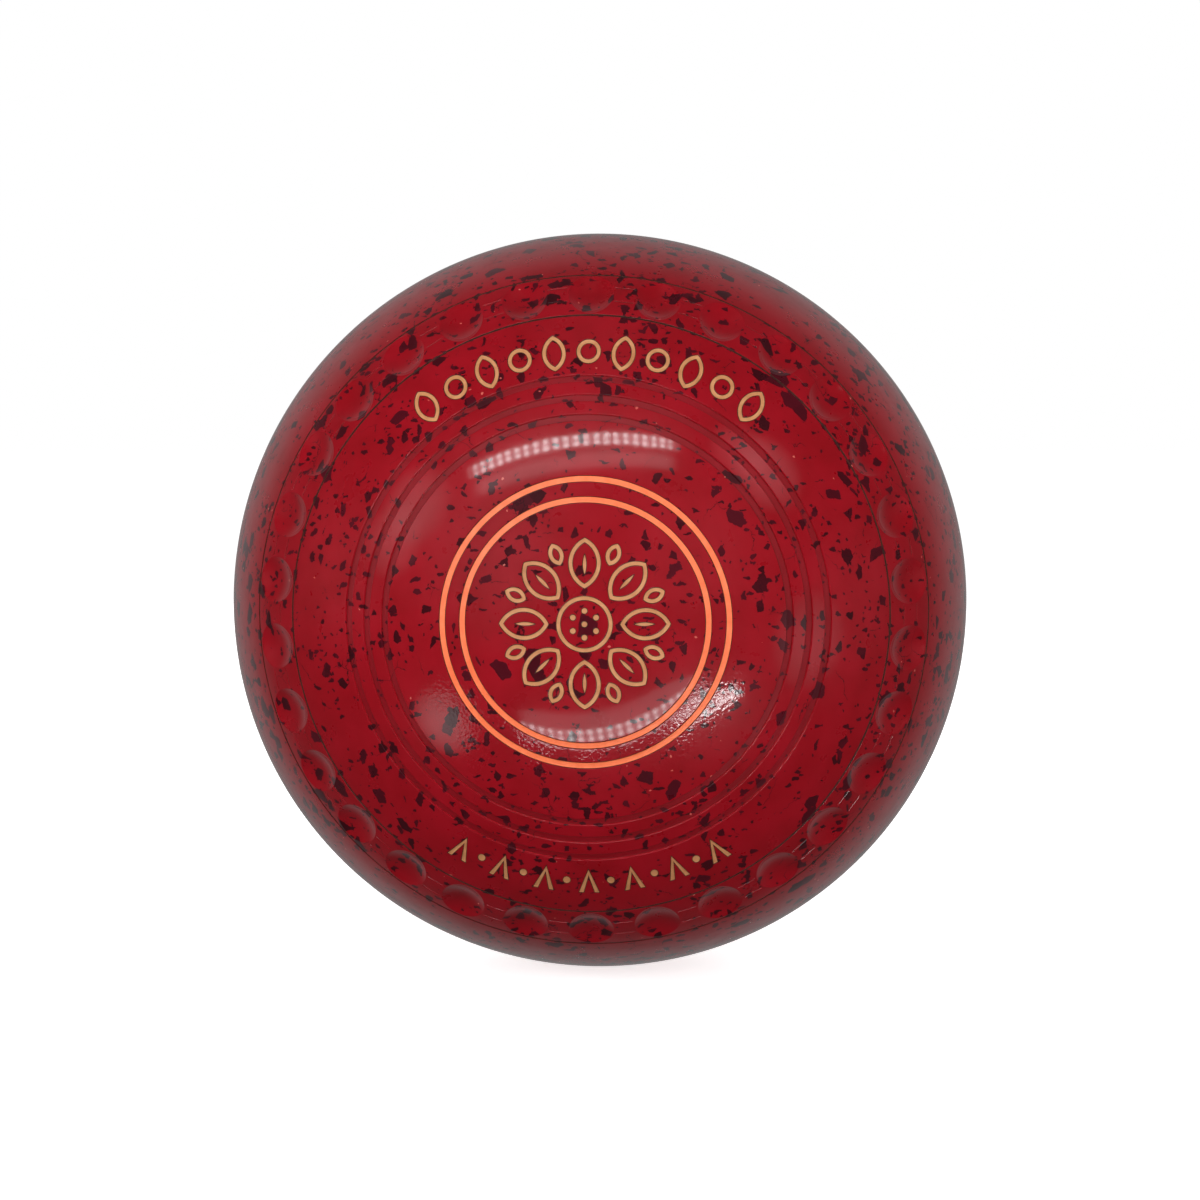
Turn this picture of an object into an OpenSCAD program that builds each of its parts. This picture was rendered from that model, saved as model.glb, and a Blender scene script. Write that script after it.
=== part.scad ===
// Lawn bowl in moulded composition resin.
// A speckled skin is moulded round a plain core and turned to its biased shape. Each
// side has a band of finger grips, three broad grooves, and an engraved face whose
// cuts are filled with paint.
// The rolling axis is Y. The front face, with the large rings, looks along -Y, and the
// bias face, with the small rings, along +Y. The origin is on the axis, midway between.

/* [Bowl] */
// Diameter of the running circle
diameter = 122; // [118:1:126]
// Running circle to the front face, along the axis
front_height = 55.6; // [55.2:0.1:56.4]
// Running circle to the bias face, which is fuller, so the bowl is heavier on that side
bias_height = 57.4; // [56.8:0.1:58]
// Radius of the running sole, in a plane through the axis
sole_r = 52; // [51:0.5:53]
// Diameter of the core inside the skin
core_d = 84; // [70:1:88]

/* [Grip bands] */
// Radius of a band's inner scribed line
band_in_r = 46.5; // [46:0.1:47]
// Radius of a band's outer scribed line
band_out_r = 53; // [52.5:0.1:53.5]
// Depth of the scribed lines at a band's two edges
scribe_depth = 0.22; // [0.15:0.01:0.3]
// Depth of the two fine scribed lines between them
fine_scribe_depth = 0.13; // [0.1:0.01:0.15]
// Number of finger grips in a band
grips = 30; // [24:1:32]
// Depth of a finger grip
grip_depth = 1; // [0.6:0.05:1.2]
// Radius of a finger grip's hollow, along the band
grip_short_r = 7.6; // [6.5:0.1:7.6]
// Radius of a finger grip's hollow, across the band
grip_long_r = 15.4; // [15.3:0.1:17]

/* [Grooves] */
// Radius of the innermost of the three broad grooves
groove_r = 30.8; // [30:0.1:31.2]
// Distance from one broad groove to the next
groove_pitch = 2.95; // [2:0.05:3]
// Width of a broad groove
groove_w = 1.05; // [0.6:0.05:1.2]
// Depth of a broad groove
groove_depth = 0.3; // [0.2:0.05:0.5]

/* [Engraving] */
// Depth of the engraved cuts
cut_depth = 0.55; // [0.4:0.05:0.8]
// How far the paint lies below the resin
paint_sunk = 0.1; // [0.05:0.01:0.2]
// Middle radius of the front face's outer ring
front_ring_r = 21.6; // [21:0.1:24]
// Middle radius of the bias face's outer ring
bias_ring_r = 12.8; // [12.6:0.1:14]
// Distance from an outer ring to its inner ring
ring_gap = 3.1; // [2.6:0.1:3.2]
// Width of a ring's line
ring_w = 0.95; // [0.6:0.05:1.2]
// Width of the thinner engraved lines
line_w = 0.68; // [0.5:0.02:0.8]
// Radius of the border marks' circle, above and below the face
border_r = 40.8; // [40.4:0.1:41]

/* [Hidden] */
$fn = 96;

bowl_r = diameter / 2;
sole_x = bowl_r - sole_r;                             // radius of the sole arc's centre
axis_shift = (bias_height - front_height) / 2;        // running circle ahead of the origin

// Flower: lengths and widths of its leaf shapes, and the radii that they stand at
petal_count = 8;
petal_step = 360 / petal_count;
front_petal = [7.6, 4.9];
front_petal_at = 9.1;
petal_vein = [3.2, 0.62];
petal_vein_at = 8.9;
sepal = [3.5, 2.3];
sepal_at = 11.2;
bias_petal = [4.2, 2.7];
bias_petal_at = 5.4;

// Flower's eye: a ring with seeds in it
front_eye_r = 3.9;
seed_count = 6;
seed_at = 2;
seed_r = 0.48;
bias_eye_r = 1.9;
bias_eye_w = 0.54;

// Upper border: leaves and loops by turns, upper_step degrees apart
upper_marks = 11;
upper_step = 7.5;
border_leaf = [5.6, 3.7];
loop_r = 1.55;

// Lower border: chevrons and dots by turns, lower_step degrees apart
lower_marks = 13;
lower_step = 4.8;
chevron_w = 3.3;
chevron_h = 4.2;
chevron_arm = 1.2 * line_w;                           // width of an arm's flat end
chevron_waist = 1.9 * line_w;                         // height of the point where the arms meet
dot_r = 0.62;

// The flank of a side is a sphere centred on the axis, tangent to the sole.
// flank_back is how far its centre lies behind the running circle, for a side of height h.
function flank_back(h) = (sole_x^2 - (h - sole_r)^2) / (2 * (h - sole_r));
function flank_r(h) = h + flank_back(h);

// Where flank and sole meet: the ray from the flank's centre through the sole's.
function meeting_reach(h) = norm([sole_x, flank_back(h)]);
function meeting_r(h) = flank_r(h) * sole_x / meeting_reach(h);

// Height of the surface above the running circle at radius r, and the angle between its
// normal and the axis.
function surface_z(r, h) = r < meeting_r(h)
    ? sqrt(flank_r(h)^2 - r^2) - flank_back(h)
    : sqrt(sole_r^2 - (r - sole_x)^2);
function surface_lean(r, h) = r < meeting_r(h)
    ? asin(r / flank_r(h))
    : asin((r - sole_x) / sole_r);

// Radius at which the surface has that lean.
function surface_r(lean, h) = lean < atan2(sole_x, flank_back(h))
    ? flank_r(h) * sin(lean)
    : sole_x + sole_r * sin(lean);

// Radius at a share of the way across a grip band, along its curve.
function band_r(share, h) = surface_r(
    surface_lean(band_in_r, h) * (1 - share) + surface_lean(band_out_r, h) * share, h);

// ---- Placing ----

// From the turning frame, axis along Z and running circle at 0, to the part's own frame.
module front_side() {
    rotate([90, 0, 0]) translate([0, 0, axis_shift]) children();
}

module bias_side() {
    front_side() rotate([0, 180, 0]) children();
}

// A shape drawn along the surface's normal at radius r, in the profile's plane.
module on_profile(r, h) {
    translate([r, surface_z(r, h)]) rotate(-surface_lean(r, h)) children();
}

// The flank's sphere, smaller by below. Its seam line is turned clear of the petals' tips.
module flank_ball(h, below) {
    translate([0, 0, -flank_back(h)]) rotate(petal_step / 4) sphere(flank_r(h) - below);
}

// ---- The turned body ----

// Half of the profile on one side of the running circle.
module half_profile(h) {
    reach = 2 * bowl_r;
    ray = reach * [sole_x, flank_back(h)] / meeting_reach(h);
    intersection() {
        translate([sole_x, 0]) circle(sole_r);
        translate([sole_x, 0]) polygon([[0, 0], [reach, 0], ray + [reach, 0], ray]);
    }
    intersection() {
        translate([0, -flank_back(h)]) circle(flank_r(h));
        polygon([[0, 0], [sole_x, 0], [sole_x, 0] + ray, [0, reach]]);
    }
}

module turned_body() {
    rotate_extrude() {
        half_profile(front_height);
        mirror([0, 1]) half_profile(bias_height);
    }
}

// The hollows are cut by a ring-shaped cutter, longer across the band than along it.
module finger_grips(h) {
    r = band_r(1 / 2, h);
    for (i = [0:grips - 1])
        rotate(360 / grips * (i + 0.5))
            translate([r, 0, surface_z(r, h)])
                rotate([0, surface_lean(r, h), 0])
                    translate([0, 0, grip_long_r - grip_depth])
                        rotate([90, 0, 0])
                            rotate_extrude() translate([grip_long_r - grip_short_r, 0]) circle(grip_short_r);
}

module gripped_body() {
    difference() {
        front_side() turned_body();
        front_side() finger_grips(front_height);
        bias_side() finger_grips(bias_height);
    }
}

module broad_grooves(h) {
    rotate_extrude() for (i = [0:2])
        on_profile(groove_r + i * groove_pitch, h) square([groove_w, 2 * groove_depth], center = true);
}

// V-shaped lines, as a pointed scriber leaves them.
module scribed_line(r, h, depth) {
    rotate_extrude() on_profile(r, h) rotate(45) square(sqrt(2) * depth, center = true);
}

module scribed_lines(h) {
    scribed_line(band_in_r, h, scribe_depth);
    scribed_line(band_r(1 / 3, h), h, fine_scribe_depth);
    scribed_line(band_r(2 / 3, h), h, fine_scribe_depth);
    scribed_line(band_out_r, h, scribe_depth);
}

// ---- Engraving ----

// The cut that a flat outline makes, square to the face and cut_depth deep.
module cut(h) {
    difference() {
        translate([0, 0, h / 2]) linear_extrude(h) children();
        flank_ball(h, cut_depth);
    }
}

// The paint that lies in that cut.
module paint(h) {
    intersection() {
        cut(h) children();
        flank_ball(h, paint_sunk);
    }
}

module ring(r, w) {
    difference() {
        circle(r + w / 2);
        circle(r - w / 2);
    }
}

// A pointed leaf of [length, width] standing on Y, from two arcs. inset draws it smaller by
// that much all round.
module leaf(size, inset = 0) {
    arc_r = (size[0]^2 + size[1]^2) / (4 * size[1]);
    intersection_for (side = [-1, 1])
        translate([side * (arc_r - size[1] / 2), 0]) circle(arc_r - inset);
}

module leaf_line(size) {
    difference() {
        leaf(size);
        leaf(size, line_w);
    }
}

module chevron() {
    half_w = chevron_w / 2;
    top = chevron_h / 2;
    polygon([
        [-half_w, top], [0, -top], [half_w, top],
        [half_w - chevron_arm, top], [0, chevron_waist - top], [chevron_arm - half_w, top]
    ]);
}

// Copies of a shape round the face's centre, step degrees apart, the first one at turn
// from the top.
module round_face(count, r, step, turn = 0) {
    for (i = [0:count - 1])
        rotate(turn + i * step) translate([0, r]) children();
}

module outer_ring(r) {
    ring(r, ring_w);
}

module inner_ring(r) {
    ring(r - ring_gap, ring_w);
}

module front_petals() {
    round_face(petal_count, front_petal_at, petal_step) leaf_line(front_petal);
}

module front_petal_veins() {
    round_face(petal_count, petal_vein_at, petal_step) leaf(petal_vein);
}

module front_sepals() {
    round_face(petal_count, sepal_at, petal_step, petal_step / 2) leaf_line(sepal);
}

module front_flower_eye() {
    ring(front_eye_r, line_w);
    round_face(seed_count, seed_at, 360 / seed_count) circle(seed_r);
    circle(seed_r);
}

module bias_petals() {
    round_face(petal_count, bias_petal_at, petal_step) leaf_line(bias_petal);
}

module bias_flower_eye() {
    ring(bias_eye_r, bias_eye_w);
    circle(seed_r);
}

module upper_border() {
    leaves = (upper_marks + 1) / 2;
    first = -upper_step * (upper_marks - 1) / 2;
    round_face(leaves, border_r, 2 * upper_step, first) leaf_line(border_leaf);
    round_face(leaves - 1, border_r, 2 * upper_step, first + upper_step) ring(loop_r, line_w);
}

module lower_border() {
    chevrons = (lower_marks + 1) / 2;
    first = 180 - lower_step * (lower_marks - 1) / 2;
    round_face(chevrons, border_r, 2 * lower_step, first) chevron();
    round_face(chevrons - 1, border_r, 2 * lower_step, first + lower_step) circle(dot_r);
}

module front_engraving() {
    outer_ring(front_ring_r);
    inner_ring(front_ring_r);
    front_petals();
    front_petal_veins();
    front_sepals();
    front_flower_eye();
    upper_border();
    lower_border();
}

module bias_engraving() {
    outer_ring(bias_ring_r);
    inner_ring(bias_ring_r);
    bias_petals();
    bias_flower_eye();
    upper_border();
    lower_border();
}

module front_paint() {
    front_side() paint(front_height) children();
}

module bias_paint() {
    bias_side() paint(bias_height) children();
}

// ---- Nodes ----

module bowl_skin() {
    color("crimson") difference() {
        gripped_body();
        front_side() broad_grooves(front_height);
        bias_side() broad_grooves(bias_height);
        front_side() scribed_lines(front_height);
        bias_side() scribed_lines(bias_height);
        front_side() cut(front_height) front_engraving();
        bias_side() cut(bias_height) bias_engraving();
        sphere(d = core_d);
    }
}

module bowl_core() { color("dimgray") sphere(d = core_d); }

module front_outer_ring_paint() { color("coral") front_paint() outer_ring(front_ring_r); }
module front_inner_ring_paint() { color("coral") front_paint() inner_ring(front_ring_r); }
module front_petals_paint() { color("burlywood") front_paint() front_petals(); }
module front_petal_veins_paint() { color("burlywood") front_paint() front_petal_veins(); }
module front_sepals_paint() { color("burlywood") front_paint() front_sepals(); }
module front_flower_eye_paint() { color("burlywood") front_paint() front_flower_eye(); }
module front_upper_border_paint() { color("burlywood") front_paint() upper_border(); }
module front_lower_border_paint() { color("burlywood") front_paint() lower_border(); }

module bias_outer_ring_paint() { color("coral") bias_paint() outer_ring(bias_ring_r); }
module bias_inner_ring_paint() { color("coral") bias_paint() inner_ring(bias_ring_r); }
module bias_petals_paint() { color("burlywood") bias_paint() bias_petals(); }
module bias_flower_eye_paint() { color("burlywood") bias_paint() bias_flower_eye(); }
module bias_upper_border_paint() { color("burlywood") bias_paint() upper_border(); }
module bias_lower_border_paint() { color("burlywood") bias_paint() lower_border(); }

bowl_skin();
bowl_core();
front_outer_ring_paint();
front_inner_ring_paint();
front_petals_paint();
front_petal_veins_paint();
front_sepals_paint();
front_flower_eye_paint();
front_upper_border_paint();
front_lower_border_paint();
bias_outer_ring_paint();
bias_inner_ring_paint();
bias_petals_paint();
bias_flower_eye_paint();
bias_upper_border_paint();
bias_lower_border_paint();
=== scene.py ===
import math

import bmesh
import bpy
import numpy as np
from mathutils import Matrix, Vector
from mathutils.geometry import delaunay_2d_cdt


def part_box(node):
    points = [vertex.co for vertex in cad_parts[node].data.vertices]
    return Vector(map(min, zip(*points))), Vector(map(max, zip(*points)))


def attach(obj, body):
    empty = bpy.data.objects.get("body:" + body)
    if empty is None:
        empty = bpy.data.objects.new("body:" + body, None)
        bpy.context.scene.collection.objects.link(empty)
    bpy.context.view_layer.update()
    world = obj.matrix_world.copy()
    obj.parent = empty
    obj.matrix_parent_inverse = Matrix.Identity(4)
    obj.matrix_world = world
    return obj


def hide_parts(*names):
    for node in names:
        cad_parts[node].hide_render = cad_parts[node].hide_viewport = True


# The looks of a lawn bowl: its speckled skin with grips, grooves and engraving, and the
# paint that lies in the engraving. The bowl's lengths are in millimetres until a mesh is
# made, and those of the stage, the lights and the camera are in metres.
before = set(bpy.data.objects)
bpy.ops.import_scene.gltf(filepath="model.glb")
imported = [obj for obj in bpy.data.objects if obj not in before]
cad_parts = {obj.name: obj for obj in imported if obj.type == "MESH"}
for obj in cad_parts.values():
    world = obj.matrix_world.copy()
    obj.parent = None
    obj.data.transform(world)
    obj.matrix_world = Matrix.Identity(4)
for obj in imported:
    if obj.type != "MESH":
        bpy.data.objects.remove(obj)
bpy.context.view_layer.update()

MM = 0.001

# ---- Sizes, as the CAD has them ----

SOLE_R = 52.0                 # running sole, in a plane through the axis
AXIS_SHIFT = 0.9              # the running circle lies this far towards the front face
BAND_IN_R = 46.5              # a grip band's inner and outer scribed lines
BAND_OUT_R = 53.0
SCRIBE_DEPTH = 0.22
FINE_SCRIBE_DEPTH = 0.13
GRIPS = 30
GRIP_DEPTH = 1.0
GRIP_SHORT_R = 7.6            # radii of a grip's hollow, along the band and across it
GRIP_LONG_R = 15.4
GROOVE_R = 30.8
GROOVE_PITCH = 2.95
GROOVE_W = 1.05
GROOVE_DEPTH = 0.3
CUT_DEPTH = 0.55
RING_W = 0.95
LINE_W = 0.68
BORDER_R = 40.8
PETALS = 8
PETAL_STEP = 360 / PETALS
UPPER_MARKS = 11
UPPER_STEP = 7.5
LOWER_MARKS = 13
LOWER_STEP = 4.8

# ---- Fineness of the meshes ----

CELL_COLUMNS = 16             # columns of faces across one grip's stretch of the band
COLUMNS = GRIPS * CELL_COLUMNS
POINT_GAP = 0.3               # between the points of an engraved outline
FACE_GAP = 1.4                # between the points of the plain surface of a face
RIM_POINTS = 48               # round a grip's rim
SOLE_ROWS = 17                # from a band to the running circle

# ---- Zones of a side, by radius ----

FACE_EDGE_R = 29.8            # the engraved face ends and the grooves begin
BORDER_IN_R = 37.4            # the grooves end and the border begins
BORDER_OUT_R = 44.5           # the border ends and the grip band begins
BAND_EDGE_R = 53.7            # the grip band ends and the sole begins

# The second slot is painted shade with some grime, in the cuts, the grooves' corners and the scribed
# lines.
RESIN, CUT_SHADE_AND_GRIME, GROOVE_FLOOR = range(3)    # material slots of the skin

skin_low, skin_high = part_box("bowl_skin")
bowl_r = (skin_high.z - skin_low.z) / 2 / MM
sole_x = bowl_r - SOLE_R
front_ring_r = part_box("front_outer_ring_paint")[1].x / MM - RING_W / 2
bias_ring_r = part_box("bias_outer_ring_paint")[1].x / MM - RING_W / 2
ring_gap = front_ring_r + RING_W / 2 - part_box("front_inner_ring_paint")[1].x / MM


def polar(radius, degrees):
    """Points at those radii and angles, which may be arrays."""
    angle = np.radians(degrees)
    return np.stack(np.broadcast_arrays(radius * np.cos(angle), radius * np.sin(angle)), -1)


class Side:
    """One side of the bowl, from the running circle (z = 0) to its face, at z = height.

    Its flank is a sphere, tangent to the sole. A place on it is given by its lean, the angle
    between the surface's normal and the axis."""

    def __init__(self, height, facing):
        past_sole = height - SOLE_R
        self.facing = facing                                    # -1 looks along -Y
        self.back = (sole_x**2 - past_sole**2) / (2 * past_sole)
        self.flank_r = height + self.back
        self.meeting = math.atan2(sole_x, self.back)            # lean where flank meets sole
        first, last = self.lean_at(BAND_IN_R), self.lean_at(BAND_OUT_R)
        self.line_leans = [first + (last - first) * i / 3 for i in range(4)]
        self.band_lean = (first + last) / 2
        self.band_arc = self.flank_r if last < self.meeting else SOLE_R

    def lean_at(self, radius):
        if radius < self.flank_r * math.sin(self.meeting):
            return math.asin(radius / self.flank_r)
        return math.asin((radius - sole_x) / SOLE_R)

    def turned(self, lean, depth, degrees):
        """Points on the surface, or depth below it, at an angle round the axis."""
        lean, depth = np.broadcast_arrays(lean, depth)
        on_flank = lean < self.meeting
        arc = np.where(on_flank, self.flank_r, SOLE_R) - depth
        radius = arc * np.sin(lean) + np.where(on_flank, 0, sole_x)
        z = arc * np.cos(lean) - np.where(on_flank, self.back, 0)
        flat = polar(radius, degrees)
        return self.placed(flat[..., 0], flat[..., 1], z)

    def lifted(self, flat, depth):
        """Points drawn on the face's plane, put on the flank or depth below it."""
        z = np.sqrt((self.flank_r - depth) ** 2 - (flat**2).sum(-1)) - self.back
        return self.placed(flat[..., 0], flat[..., 1], z)

    def placed(self, x, y, z):
        """From the turning frame, axis along z, to the row's frame."""
        x, y, z = np.broadcast_arrays(x, y, z)
        return np.stack([-self.facing * x, self.facing * z - AXIS_SHIFT, y], -1)


front = Side(-skin_low.y / MM - AXIS_SHIFT, -1)
bias = Side(skin_high.y / MM + AXIS_SHIFT, 1)


# ---- Gathering a mesh ----

class Shell:
    """Points in millimetres and faces, gathered piece by piece."""

    def __init__(self):
        self.points = []
        self.faces = []
        self.slots = []

    def add(self, points, faces, slot=0):
        base = len(self.points)
        self.points.extend(map(tuple, points))
        self.faces.extend([[base + i for i in face] for face in faces])
        self.slots.extend([slot] * len(faces))

    def loft(self, rows, slot=0, closed=True):
        """Faces between rows of equally many points, each row the next one's right-hand side."""
        count = len(rows[0])
        faces = []
        for row in range(len(rows) - 1):
            for i in range(count if closed else count - 1):
                j = (i + 1) % count
                here, ahead = row * count, (row + 1) * count
                faces.append([here + i, here + j, ahead + j, ahead + i])
        self.add(np.concatenate(rows), faces, slot)

    def piece(self, name):
        """The gathered mesh as an object in metres, with its points welded."""
        mesh = bpy.data.meshes.new(name)
        mesh.from_pydata((np.array(self.points) * MM).tolist(), [], self.faces)
        mesh.polygons.foreach_set("material_index", self.slots)
        mesh.polygons.foreach_set("use_smooth", [True] * len(self.faces))
        bm = bmesh.new()
        bm.from_mesh(mesh)
        bmesh.ops.remove_doubles(bm, verts=bm.verts, dist=0.001 * MM)
        loose = [v for v in bm.verts if not v.link_faces]
        bmesh.ops.delete(bm, geom=loose, context="VERTS")
        bm.to_mesh(mesh)
        bm.free()
        made = bpy.data.objects.new(name, mesh)
        bpy.context.scene.collection.objects.link(made)
        return made


def within(points, loops):
    """Which points lie inside an odd number of the closed outlines."""
    odd = np.zeros(len(points), bool)
    x, y = points[:, 0], points[:, 1]
    for loop in loops:
        loop = loop.astype(np.float32).astype(float)      # as triangulated takes it
        near = (x > loop[:, 0].min()) & (x < loop[:, 0].max())
        near &= (y > loop[:, 1].min()) & (y < loop[:, 1].max())
        px, py = x[near, None], y[near, None]
        ax, ay = loop.T
        bx, by = np.roll(loop, -1, 0).T
        spans = (ay > py) != (by > py)
        run = np.where(by == ay, 1.0, by - ay)
        crossed = spans & (px < (bx - ax) * (py - ay) / run + ax)
        odd[near] ^= crossed.sum(1) % 2 == 1
    return odd


def triangulated(points, edges):
    """Flat points and counter-clockwise triangles that keep the given edges."""
    made = delaunay_2d_cdt([Vector(p) for p in points], edges, [], 0, 1e-7)
    flat = np.array([tuple(p) for p in made[0]])
    faces = np.array(made[2])
    a, b, c = (flat[faces[:, i]] for i in range(3))
    area = (b[:, 0] - a[:, 0]) * (c[:, 1] - a[:, 1]) - (b[:, 1] - a[:, 1]) * (c[:, 0] - a[:, 0])
    faces[area < 0] = faces[area < 0][:, ::-1]
    return flat, faces


def loop_edges(loops):
    edges, base = [], 0
    for loop in loops:
        count = len(loop)
        edges += [(base + i, base + (i + 1) % count) for i in range(count)]
        base += count
    return edges


# ---- Engraved outlines ----
# A mark is a function of inset that gives its closed outlines, drawn smaller all round by
# inset: outer ones counter-clockwise and holes clockwise, so that the cut is on their left.

def circle_points(radius, count, clockwise=False):
    angles = np.arange(count) * 360 / count
    return polar(radius, -angles if clockwise else angles)


def disc(radius):
    count = max(20, round(2 * math.pi * radius / POINT_GAP))
    return lambda inset: [circle_points(radius - inset, count)]


def ring(radius, width):
    count = max(24, round(2 * math.pi * radius / POINT_GAP))

    def outlines(inset):
        half = width / 2 - inset
        return [circle_points(radius + half, count), circle_points(radius - half, count, True)]
    return outlines


def leaf_outline(length, width, inset, clockwise=False):
    """A pointed leaf standing on Y, from two arcs, smaller by inset all round."""
    arc_r = (length**2 + width**2) / (4 * width)
    centre = arc_r - width / 2
    radius = arc_r - inset
    half_turn = math.degrees(math.acos(centre / radius))
    count = max(8, round(length / POINT_GAP))
    turns = -half_turn + 2 * half_turn * np.arange(count) / count
    right = polar(radius, turns) - [centre, 0]
    points = np.concatenate([right, -right])
    return points[::-1] if clockwise else points


def leaf(length, width):
    return lambda inset: [leaf_outline(length, width, inset)]


def leaf_line(length, width):
    def outlines(inset):
        hole = leaf_outline(length, width, LINE_W - inset, True)
        return [leaf_outline(length, width, inset), hole]
    return outlines


def inset_corners(corners, inset):
    """A polygon's corners after each of its sides has moved to its left by inset."""
    moved = []
    for before, here, after in zip(np.roll(corners, 1, 0), corners, np.roll(corners, -1, 0)):
        into, out = here - before, after - here
        into, out = into / np.linalg.norm(into), out / np.linalg.norm(out)
        left = np.array([-into[1], into[0]]) + [-out[1], out[0]]
        moved.append(here + inset * left / (1 + into @ out))
    return np.array(moved)


def chevron(width=3.3, height=4.2):
    half, top = width / 2, height / 2
    arm, waist = 1.2 * LINE_W, 1.9 * LINE_W
    corners = np.array([
        [-half, top], [0, -top], [half, top], [half - arm, top], [0, waist - top], [arm - half, top]
    ])

    def outlines(inset):
        inner = inset_corners(corners, inset)
        points = []
        for i, here in enumerate(corners):
            after = (i + 1) % len(corners)
            along = corners[after] - here
            count = max(2, round(np.linalg.norm(along) / POINT_GAP))
            steps = np.arange(count)[:, None] / count
            # a slight bulge keeps the points of a straight side from lying in line
            bulge = 0.016 * steps * (1 - steps) * [along[1], -along[0]] / np.linalg.norm(along)
            points.append(inner[i] + (inner[after] - inner[i]) * steps + bulge)
        return [np.concatenate(points)]
    return outlines


def round_face(mark, count, radius, step, turn=0.0):
    """Copies of a mark round the face's centre, the first one at turn from the top."""
    def copy(degrees):
        across = polar(1.0, degrees)
        up = polar(1.0, degrees + 90)

        def outlines(inset):
            return [p[:, :1] * across + (p[:, 1:] + radius) * up for p in mark(inset)]
        return outlines
    return [copy(turn + i * step) for i in range(count)]


def upper_border():
    leaves = (UPPER_MARKS + 1) // 2
    first = -UPPER_STEP * (UPPER_MARKS - 1) / 2
    loops = round_face(ring(1.55, LINE_W), leaves - 1, BORDER_R, 2 * UPPER_STEP, first + UPPER_STEP)
    return round_face(leaf_line(5.6, 3.7), leaves, BORDER_R, 2 * UPPER_STEP, first) + loops


def lower_border():
    chevrons = (LOWER_MARKS + 1) // 2
    first = 180 - LOWER_STEP * (LOWER_MARKS - 1) / 2
    dots = round_face(disc(0.62), chevrons - 1, BORDER_R, 2 * LOWER_STEP, first + LOWER_STEP)
    return round_face(chevron(), chevrons, BORDER_R, 2 * LOWER_STEP, first) + dots


def front_flower_eye():
    seeds = round_face(disc(0.48), 6, 2.0, 60)
    return [ring(3.9, LINE_W), disc(0.48)] + seeds


front_marks = {
    "front_outer_ring_paint": [ring(front_ring_r, RING_W)],
    "front_inner_ring_paint": [ring(front_ring_r - ring_gap, RING_W)],
    "front_petals_paint": round_face(leaf_line(7.6, 4.9), PETALS, 9.1, PETAL_STEP),
    "front_petal_veins_paint": round_face(leaf(3.2, 0.62), PETALS, 8.9, PETAL_STEP),
    "front_sepals_paint": round_face(leaf_line(3.5, 2.3), PETALS, 11.2, PETAL_STEP, PETAL_STEP / 2),
    "front_flower_eye_paint": front_flower_eye(),
    "front_upper_border_paint": upper_border(),
    "front_lower_border_paint": lower_border(),
}
bias_marks = {
    "bias_outer_ring_paint": [ring(bias_ring_r, RING_W)],
    "bias_inner_ring_paint": [ring(bias_ring_r - ring_gap, RING_W)],
    "bias_petals_paint": round_face(leaf_line(4.2, 2.7), PETALS, 5.4, PETAL_STEP),
    "bias_flower_eye_paint": [ring(1.9, 0.54), disc(0.48)],
    "bias_upper_border_paint": upper_border(),
    "bias_lower_border_paint": lower_border(),
}

# ---- The skin ----

# From the plain surface over the worn lip of a cut and down its wall: (inset, depth)
CUT_WALL = [(-0.1, 0.0), (-0.05, 0.012), (-0.015, 0.045), (0.02, 0.12), (0.025, CUT_DEPTH)]


def all_outlines(marks, inset):
    return [loop for group in marks.values() for mark in group for loop in mark(inset)]


def plain_points(loops):
    """Points spread over the face and the border, clear of every outline."""
    spread = [np.zeros((1, 2))]
    for low, high in ((0, FACE_EDGE_R), (BORDER_IN_R, BORDER_OUT_R)):
        rings = round((high - low) / FACE_GAP)
        for i in range(1, rings):
            radius = low + (high - low) * i / rings
            spread.append(circle_points(radius, max(6, round(2 * math.pi * radius / FACE_GAP))))
    points = np.concatenate(spread)
    outline = np.concatenate(loops)
    apart = np.linalg.norm(points[:, None] - outline[None], axis=2).min(1)
    return points[apart > 0.35 * FACE_GAP]


def add_face_surface(shell, side, marks):
    """The plain surface of the face and of the border, around the engraved cuts."""
    cuts = all_outlines(marks, CUT_WALL[0][0])
    edges = [circle_points(r, COLUMNS) for r in (FACE_EDGE_R, BORDER_IN_R, BORDER_OUT_R)]
    loops = cuts + edges
    points = np.concatenate(loops + [plain_points(loops)])
    flat, faces = triangulated(points, loop_edges(loops))
    middle = flat[faces].mean(1)
    radius = np.linalg.norm(middle, axis=1)
    grooved = (radius > FACE_EDGE_R * 0.9999) & (radius < BORDER_IN_R)
    kept = faces[~grooved & (radius < BORDER_OUT_R) & ~within(middle, cuts)]
    shell.add(side.lifted(flat, 0), kept, RESIN)


def add_cuts(shell, side, marks):
    """The lips, walls and floors of the engraved cuts."""
    rows = [all_outlines(marks, inset) for inset, _ in CUT_WALL]
    for outlines in zip(*rows):
        lifted = [side.lifted(loop, depth) for loop, (_, depth) in zip(outlines, CUT_WALL)]
        shell.loft(lifted[:2], RESIN)
        # below the lip, the walls and floor are painted shade with some grime: a dark outline round
        # each mark
        shell.loft(lifted[1:], CUT_SHADE_AND_GRIME)
    floor, faces = triangulated(np.concatenate(rows[-1]), loop_edges(rows[-1]))
    kept = faces[within(floor[faces].mean(1), rows[-1])]
    shell.add(side.lifted(floor, CUT_DEPTH), kept, CUT_SHADE_AND_GRIME)


# A broad groove's edge, from the plain surface to its floor: (past the edge, depth)
GROOVE_EDGE = [
    (-0.08, 0.0), (-0.035, 0.006), (0.0, 0.035), (0.02, 0.12), (0.035, 0.27), (0.06, GROOVE_DEPTH)
]
SHADE_GRIME_IN = 0.16                # painted shade, with some grime, on a groove's floor reaches this far from its inner edge
SHADE_GRIME_OUT = 0.1                # and from its outer edge


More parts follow.
